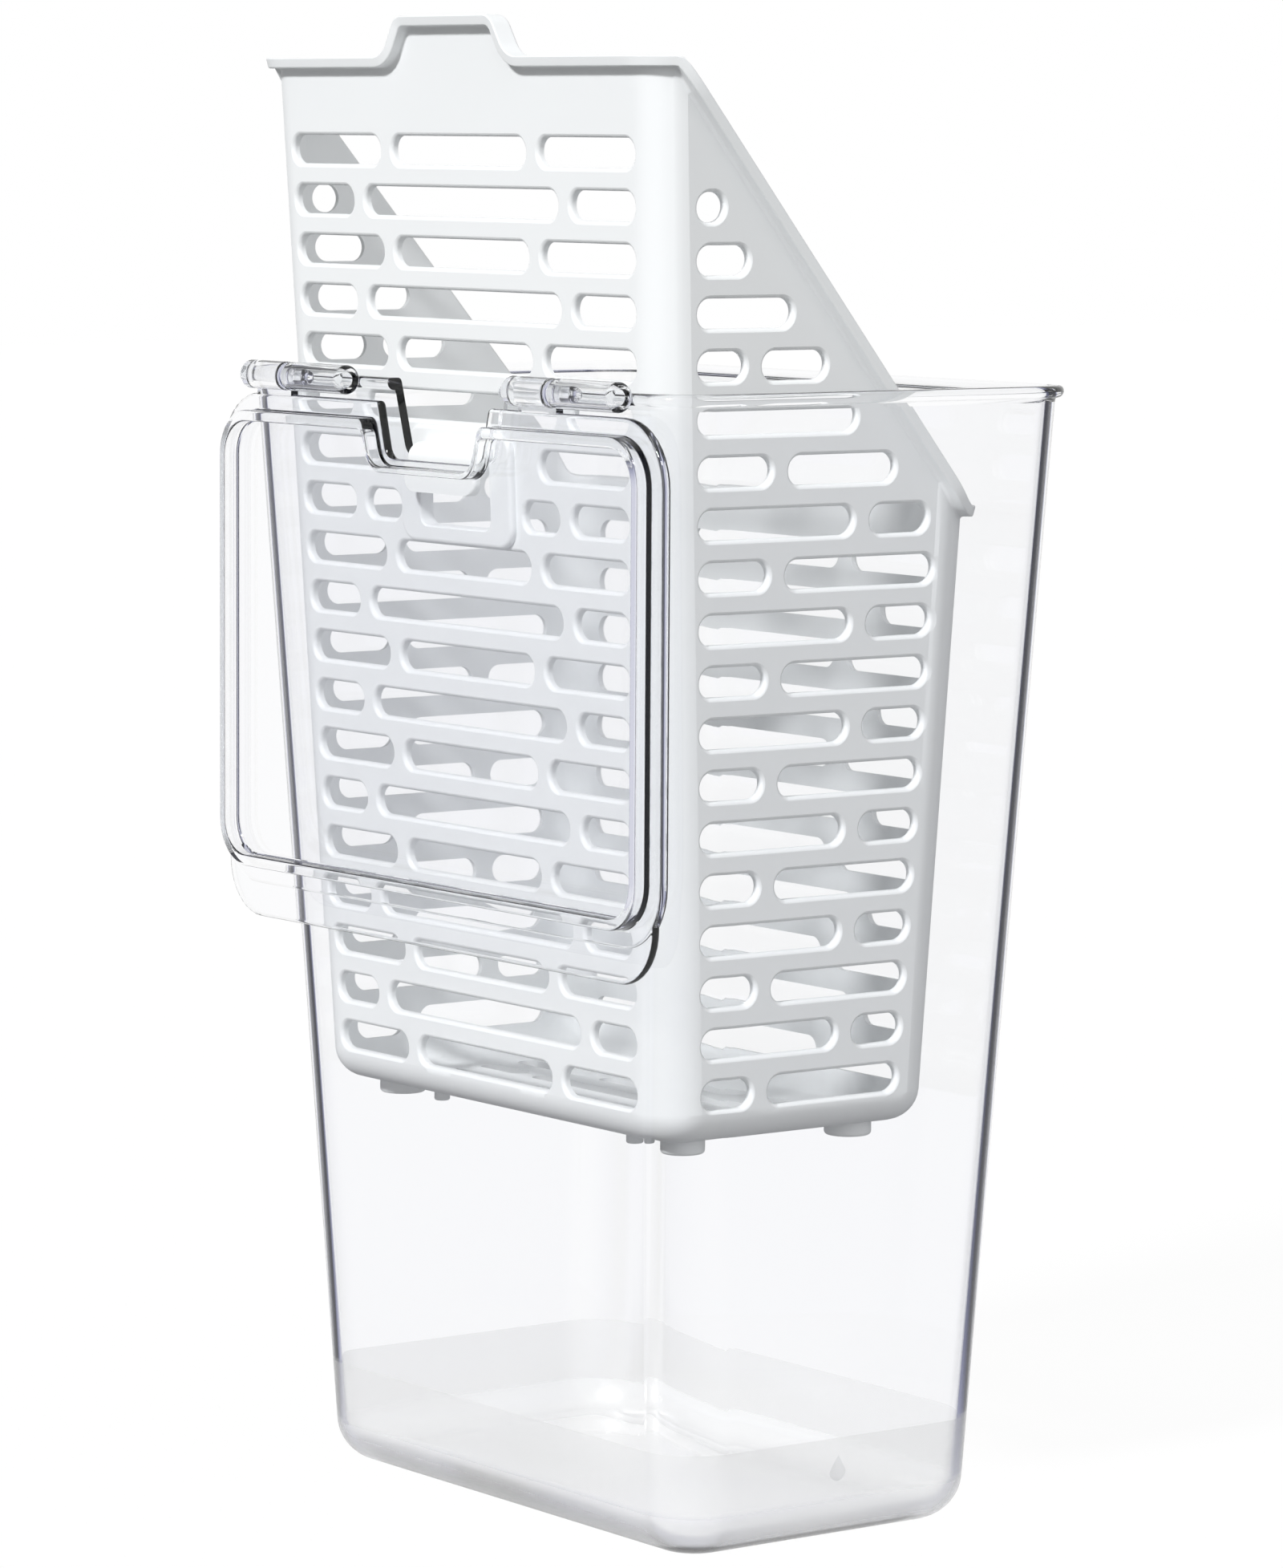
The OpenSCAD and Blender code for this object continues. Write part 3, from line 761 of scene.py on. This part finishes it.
across = Vector((1, 0, 0))
back_out = Vector((0, 1, -basket_lean_y)).normalized()
slope = (basket_h - back_h) / (slant_end - slot_slant_start)
wall_slots = []
for row in range(rows):
    top = first_row - row * row_pitch
    z = top - slot_h / 2
    bar = front_bars[row % 2]
    row_end = half_w(top) - slot_margin
    if top > hook_seat - below_pad and top - slot_h < hook_seat + above_pad - slot_h / 2:
        spans = spans_between(-row_end, -beside_pad_x, [-bar])
        spans += spans_between(beside_pad_x, row_end, [bar])
    else:
        spans = spans_between(-row_end, row_end, [-bar, bar])
    for x0, x1 in spans:
        wall_slots.append(slot_at(on_front((x0 + x1) / 2, z, 0), across, front_out, x0, x1, slot_h))
        if top < back_h - flange_t - slot_h / 2:
            behind = Vector(((x0 + x1) / 2, half_d(z), z)) + basket_place
            wall_slots.append(slot_at(behind, -across, back_out, x0, x1, slot_h))
    if row == 0:
        continue
    y0 = -half_d(top) + slot_margin
    y1 = min(half_d(top) - back_margin, slot_slant_start + (basket_h - top) / slope - slant_margin)
    cut_short = y1 < -basket_low_d / 2 + side_bars[0] + bar_w + 2 * slot_h
    bar = side_bar_short if cut_short and row % 2 == 0 else side_bars[row % 2]
    for a, b in spans_between(y0, y1, [bar - basket_low_d / 2]):
        for sx in (-1, 1):
            beside = Vector((sx * half_w(z), (a + b) / 2, z)) + basket_place
            side_out = Vector((sx, 0, -basket_lean_x)).normalized()
            wall_slots.append(slot_at(beside, Vector((0, sx, 0)), side_out, a, b, slot_h))
floor_slots = []
for row in range(floor_rows):
    bar = floor_bars[row % 2]
    for x0, x1 in spans_between(-floor_row_end, floor_row_end, [-bar, bar]):
        row_y = (row - (floor_rows - 1) / 2) * floor_row_pitch
        under = Vector(((x0 + x1) / 2, row_y, 0)) + basket_place
        floor_slots.append(slot_at(under, across, Vector((0, 0, -1)), x0, x1, floor_slot_h))


def slot_tree():
    """Geometry nodes that turn points into slot cutters, flared where they leave the outer face."""
    tree = bpy.data.node_groups.new("slot_cutters", "GeometryNodeTree")
    sockets = tree.interface.new_socket
    sockets("Points", in_out="INPUT", socket_type="NodeSocketGeometry")
    for name in ("Slot height", "Wall", "Fillet"):
        sockets(name, in_out="INPUT", socket_type="NodeSocketFloat")
    sockets("Finish", in_out="INPUT", socket_type="NodeSocketMaterial")
    sockets("Cutters", in_out="OUTPUT", socket_type="NodeSocketGeometry")
    nodes = tree.nodes
    link = tree.links.new
    given = nodes.new("NodeGroupInput").outputs
    result = nodes.new("NodeGroupOutput").inputs

    def attribute(name, kind):
        node = nodes.new("GeometryNodeInputNamedAttribute")
        node.data_type = kind
        node.inputs["Name"].default_value = name
        return node.outputs["Attribute"]

    # A barrel whose rings are moved to the flared profile. Its points straddle the slot's middle,
    # so that each half can be pulled to its own end
    sides = 28
    rings = 8
    full_turn = math.radians(76)
    clear_out = 0.2 * mm
    clear_in = 1.5 * mm
    clear_wide = 0.8 * mm
    tube = nodes.new("GeometryNodeMeshCylinder")
    tube.fill_type = "NGON"
    tube.inputs["Vertices"].default_value = sides
    tube.inputs["Side Segments"].default_value = rings
    tube.inputs["Radius"].default_value = 1.0
    tube.inputs["Depth"].default_value = rings
    spun = nodes.new("GeometryNodeTransform")
    spun.inputs["Rotation"].default_value = (0, 0, math.pi / sides)
    link(tube.outputs["Mesh"], spun.inputs["Geometry"])
    place = nodes.new("ShaderNodeSeparateXYZ")
    link(nodes.new("GeometryNodeInputPosition").outputs[0], place.inputs[0])
    level = wire(tree, "ROUND", wire(tree, "ADD", place.outputs["Z"], rings / 2))
    turn = wire(tree, "MAXIMUM", wire(tree, "SUBTRACT", level, 1.0), 0.0)
    turn = wire(tree, "MINIMUM", wire(tree, "MULTIPLY", turn, full_turn / (rings - 2)), full_turn)
    past = wire(tree, "GREATER_THAN", level, rings - 0.5)
    deep = wire(tree, "LESS_THAN", level, 0.5)
    climb = wire(tree, "SUBTRACT", wire(tree, "SINE", turn), math.sin(full_turn))
    rise = wire(tree, "MULTIPLY", climb, given["Fillet"])
    rise = wire(tree, "ADD", rise, wire(tree, "MULTIPLY", past, clear_out))
    sunk = wire(tree, "MULTIPLY", deep, wire(tree, "ADD", given["Wall"], clear_in))
    rise = wire(tree, "SUBTRACT", rise, sunk)
    spread_out = wire(tree, "SUBTRACT", 1.0, wire(tree, "COSINE", turn))
    widened = wire(tree, "MULTIPLY", spread_out, given["Fillet"])
    widened = wire(tree, "ADD", widened, wire(tree, "MULTIPLY", past, clear_wide))
    straight_r = wire(tree, "MULTIPLY", given["Slot height"], 0.5 / math.cos(math.pi / sides))
    radius = wire(tree, "ADD", straight_r, widened)
    shape = nodes.new("ShaderNodeCombineXYZ")
    link(wire(tree, "MULTIPLY", place.outputs["X"], radius), shape.inputs["X"])
    link(wire(tree, "MULTIPLY", place.outputs["Y"], radius), shape.inputs["Y"])
    link(rise, shape.inputs["Z"])
    halves = nodes.new("GeometryNodeStoreNamedAttribute")
    halves.inputs["Name"].default_value = "end"
    link(spun.outputs["Geometry"], halves.inputs["Geometry"])
    link(wire(tree, "SIGN", place.outputs["X"]), halves.inputs["Value"])
    flared = nodes.new("GeometryNodeSetPosition")
    link(halves.outputs["Geometry"], flared.inputs["Geometry"])
    link(shape.outputs[0], flared.inputs["Position"])
    turned = nodes.new("FunctionNodeEulerToRotation")
    link(attribute("turn", "FLOAT_VECTOR"), turned.inputs[0])
    spread = nodes.new("GeometryNodeInstanceOnPoints")
    link(given["Points"], spread.inputs["Points"])
    link(flared.outputs["Geometry"], spread.inputs["Instance"])
    link(turned.outputs[0], spread.inputs["Rotation"])
    real = nodes.new("GeometryNodeRealizeInstances")
    link(spread.outputs["Instances"], real.inputs["Geometry"])
    pull = nodes.new("ShaderNodeVectorMath")
    pull.operation = "SCALE"
    link(attribute("along", "FLOAT_VECTOR"), pull.inputs[0])
    drawn = wire(tree, "MULTIPLY", attribute("half_run", "FLOAT"), attribute("end", "FLOAT"))
    link(drawn, pull.inputs["Scale"])
    pulled = nodes.new("GeometryNodeSetPosition")
    link(real.outputs["Geometry"], pulled.inputs["Geometry"])
    link(pull.outputs[0], pulled.inputs["Offset"])
    coated = nodes.new("GeometryNodeSetMaterial")
    link(pulled.outputs["Geometry"], coated.inputs["Geometry"])
    link(given["Finish"], coated.inputs["Material"])
    link(coated.outputs["Geometry"], result["Cutters"])
    return tree


cutters = slot_tree()


def slot_cutters(name, slots, sizes, finish):
    """Mesh of all the cutters for a list of slots."""
    mesh = bpy.data.meshes.new(name)
    mesh.from_pydata([slot[0] for slot in slots], [], [])
    for label, field in (("along", 1), ("turn", 2)):
        layer = mesh.attributes.new(label, "FLOAT_VECTOR", "POINT")
        for item, slot in zip(layer.data, slots):
            item.vector = slot[field]
    layer = mesh.attributes.new("half_run", "FLOAT", "POINT")
    for item, slot in zip(layer.data, slots):
        item.value = slot[3]
    piece = bpy.data.objects.new(name, mesh)
    bpy.context.scene.collection.objects.link(piece)
    step = piece.modifiers.new("cutters", "NODES")
    step.node_group = cutters
    inputs = [item for item in cutters.interface.items_tree if item.in_out == "INPUT"]
    sockets = {item.name: item.identifier for item in inputs}
    for label, value in sizes.items():
        step[sockets[label]] = value
    step[sockets["Finish"]] = finish
    bake(piece)
    return piece


def white_plastic(name):
    """Satin white plastic: a fine moulded grain, and a slow cool mottle that stays just visible."""
    material = bpy.data.materials.new(name)
    material.use_nodes = True
    nodes = material.node_tree.nodes
    link = material.node_tree.links.new
    shader = nodes["Principled BSDF"]
    shader.inputs["Specular IOR Level"].default_value = 0.4
    surface = nodes.new("ShaderNodeGroup")
    surface.node_tree = skin
    surface.inputs["Grain size"].default_value = 0.5
    surface.inputs["Grain depth"].default_value = 0.6
    tint = nodes.new("ShaderNodeMix")
    tint.data_type = "RGBA"
    tint.inputs["A"].default_value = (0.825, 0.845, 0.856, 1)
    tint.inputs["B"].default_value = (0.855, 0.872, 0.882, 1)
    link(surface.outputs["Mottle"], tint.inputs["Factor"])
    link(tint.outputs["Result"], shader.inputs["Base Color"])
    sheen = nodes.new("ShaderNodeMapRange")
    sheen.inputs["To Min"].default_value = 0.5
    sheen.inputs["To Max"].default_value = 0.6
    link(surface.outputs["Mottle"], sheen.inputs["Value"])
    link(sheen.outputs["Result"], shader.inputs["Roughness"])
    bump = nodes.new("ShaderNodeBump")
    bump.inputs["Strength"].default_value = 0.12
    bump.inputs["Distance"].default_value = 0.05 * mm
    link(surface.outputs["Height"], bump.inputs["Height"])
    link(bump.outputs["Normal"], shader.inputs["Normal"])
    return material


satin_white = white_plastic("satin_white")
wall_sizes = {"Slot height": slot_h, "Wall": basket_wall, "Fillet": 1.0 * mm}
floor_sizes = {"Slot height": floor_slot_h, "Wall": basket_floor, "Fillet": 0.6 * mm}
mould(basket, slot_cutters("wall_slots", wall_slots, wall_sizes, satin_white), "DIFFERENCE")
mould(basket, slot_cutters("floor_slots", floor_slots, floor_sizes, satin_white), "DIFFERENCE")
smooth_skin(basket, 32)
basket.data.materials.clear()
basket.data.materials.append(satin_white)
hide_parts("basket")
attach(basket, "basket")


# Studio: a pale floor that fades into a white room, one key lamp high in front and a soft fill from
# the right and behind. Light that clear edges turn aside meets a dim room, apart from the backdrop,
# a front panel and the right side, so they draw dark lines, as in a bright-field photograph.
aside_level = 0.02
right_level = 0.9
front_level = 0.7
fill_right = 1.15
fill_behind = 1.3
fill_all = 0.1
panel_left = -0.8
panel_back = 0.6
panel_edges = (math.cos(math.radians(25)), math.cos(math.radians(14)))


def sight(tree, place):
    """What a place in the studio shows: if to the eye, how bright, if at all, its fill and its tone."""
    rays = tree.nodes.new("ShaderNodeLightPath").outputs
    way = tree.nodes.new("ShaderNodeVectorMath")
    way.operation = "NORMALIZE"
    tree.links.new(place, way.inputs[0])
    axes = tree.nodes.new("ShaderNodeSeparateXYZ")
    tree.links.new(way.outputs[0], axes.inputs[0])
    from_right = wire(tree, "MAXIMUM", axes.outputs["X"], 0.0)
    aside = wire(tree, "MULTIPLY_ADD", from_right, right_level, aside_level)
    to_left = wire(tree, "MULTIPLY", axes.outputs["X"], panel_left)
    to_backdrop = wire(tree, "MULTIPLY_ADD", axes.outputs["Y"], panel_back, to_left)
    to_front_panel = wire(tree, "MULTIPLY_ADD", axes.outputs["Y"], -panel_back, to_left)
    for facing, level in ((to_backdrop, 1.0), (to_front_panel, front_level)):
        panel = tree.nodes.new("ShaderNodeMapRange")
        panel.inputs["From Min"].default_value = panel_edges[0]
        panel.inputs["From Max"].default_value = panel_edges[1]
        panel.inputs["To Max"].default_value = level
        tree.links.new(facing, panel.inputs["Value"])
        aside = wire(tree, "MAXIMUM", aside, panel.outputs["Result"])
    turned = wire(tree, "GREATER_THAN", rays["Glossy Depth"], 0.5)
    past_clear = wire(tree, "MULTIPLY_ADD", turned, aside, wire(tree, "SUBTRACT", 1.0, turned))
    through = rays["Is Transmission Ray"]
    mirrored = wire(tree, "MULTIPLY", rays["Is Glossy Ray"], wire(tree, "SUBTRACT", 1.0, through))
    eye = rays["Is Camera Ray"]
    bright = wire(tree, "ADD", wire(tree, "MULTIPLY_ADD", through, past_clear, mirrored), eye)
    first = wire(tree, "LESS_THAN", rays["Diffuse Depth"], 0.5)
    seen = wire(tree, "MAXIMUM", wire(tree, "MAXIMUM", eye, rays["Is Glossy Ray"]), through)
    seen = wire(tree, "MULTIPLY", seen, first)
    tone = tree.nodes.new("ShaderNodeMix")
    tone.data_type = "RGBA"
    tone.inputs["A"].default_value = (0.45, 0.5, 1, 1)
    tone.inputs["B"].default_value = (1, 1, 1, 1)
    whiteness = wire(tree, "MAXIMUM", bright, wire(tree, "SUBTRACT", 1.0, seen))
    tree.links.new(whiteness, tone.inputs["Factor"])
    from_behind = wire(tree, "POWER", wire(tree, "MAXIMUM", to_backdrop, 0.0), 3.0)
    fill = wire(tree, "MULTIPLY_ADD", from_behind, fill_behind, fill_all)
    fill = wire(tree, "MULTIPLY_ADD", from_right, fill_right, fill)
    return eye, bright, seen, fill, tone.outputs["Result"]


floor_reach = 6
floor_below = 0.2 * mm
floor_glow = 0.19
floor_shadow = 0.2


def floor_material():
    """Pale floor that shows white to the eye and still takes a faint shadow."""
    material = bpy.data.materials.new("pale_floor")
    material.use_nodes = True
    tree = material.node_tree
    tree.nodes.remove(tree.nodes["Principled BSDF"])
    eye, bright, seen, _, tone = sight(tree, tree.nodes.new("ShaderNodeTexCoord").outputs["Object"])
    matt = tree.nodes.new("ShaderNodeBsdfDiffuse")
    matt.inputs["Color"].default_value = (0.26, 0.26, 0.26, 1)
    glow = tree.nodes.new("ShaderNodeEmission")
    tree.links.new(tone, glow.inputs["Color"])
    tree.links.new(wire(tree, "MULTIPLY_ADD", eye, floor_glow, bright), glow.inputs["Strength"])
    either = tree.nodes.new("ShaderNodeMixShader")
    lit_share = wire(tree, "MULTIPLY_ADD", eye, -floor_shadow, 1.0)
    tree.links.new(wire(tree, "MULTIPLY", seen, lit_share), either.inputs["Fac"])
    tree.links.new(matt.outputs["BSDF"], either.inputs[1])
    tree.links.new(glow.outputs["Emission"], either.inputs[2])
    tree.links.new(either.outputs["Shader"], tree.nodes["Material Output"].inputs["Surface"])
    return material


floor_mesh = bpy.data.meshes.new("floor")
corners = ((-1, -1), (1, -1), (1, 1), (-1, 1))
floor_corners = [(x * floor_reach, y * floor_reach, 0) for x, y in corners]
floor_mesh.from_pydata(floor_corners, [], [(0, 1, 2, 3)])
floor = bpy.data.objects.new("floor", floor_mesh)
floor.location.z = -floor_below
bpy.context.scene.collection.objects.link(floor)
floor_mesh.materials.append(floor_material())

world = bpy.data.worlds.new("studio")
world.use_nodes = True
bpy.context.scene.world = world
room = world.node_tree
_, bright, seen, fill, tone = sight(room, room.nodes.new("ShaderNodeTexCoord").outputs["Generated"])
fill = wire(room, "MULTIPLY", fill, wire(room, "SUBTRACT", 1.0, seen))
room.links.new(tone, room.nodes["Background"].inputs["Color"])
room.links.new(wire(room, "MULTIPLY_ADD", bright, seen, fill), room.nodes["Background"].inputs["Strength"])

key_from = Vector((0.25, -1.0, 0.72))
key = bpy.data.objects.new("key_lamp", bpy.data.lights.new("key_lamp", "SUN"))
key.data.energy = 3.0
key.data.angle = math.radians(8)
key.rotation_euler = key_from.to_track_quat("Z", "Y").to_euler()
bpy.context.scene.collection.objects.link(key)


# Camera: a long lens a little above the object, looking at its front right corner. Its place was
# fitted to the straight edges of the photograph. Angles are in radians.
round_by = 0.93168957
down_by = 0.10531605
rolled = 0.00614212
distance = 1338.26 * mm
aim_aside = -1.2273 * mm
aim_height = 152.87 * mm
back = Vector((math.sin(round_by) * math.cos(down_by),
               -math.cos(round_by) * math.cos(down_by), math.sin(down_by)))
level_right = Vector((math.cos(round_by), math.sin(round_by), 0))
level_up = back.cross(level_right)
right = level_right * math.cos(rolled) + level_up * math.sin(rolled)
up = level_up * math.cos(rolled) - level_right * math.sin(rolled)
target = level_right * aim_aside + Vector((0, 0, aim_height))
camera = bpy.data.objects.new("camera", bpy.data.cameras.new("camera"))
camera.data.lens = 143.52
camera.data.sensor_width = 36
turned_to = Matrix((right, up, back)).transposed().to_4x4()
camera.matrix_world = Matrix.Translation(target + back * distance) @ turned_to
camera.data.clip_end = 50
bpy.context.scene.collection.objects.link(camera)
bpy.context.scene.camera = camera
bpy.context.scene.view_settings.view_transform = "Standard"
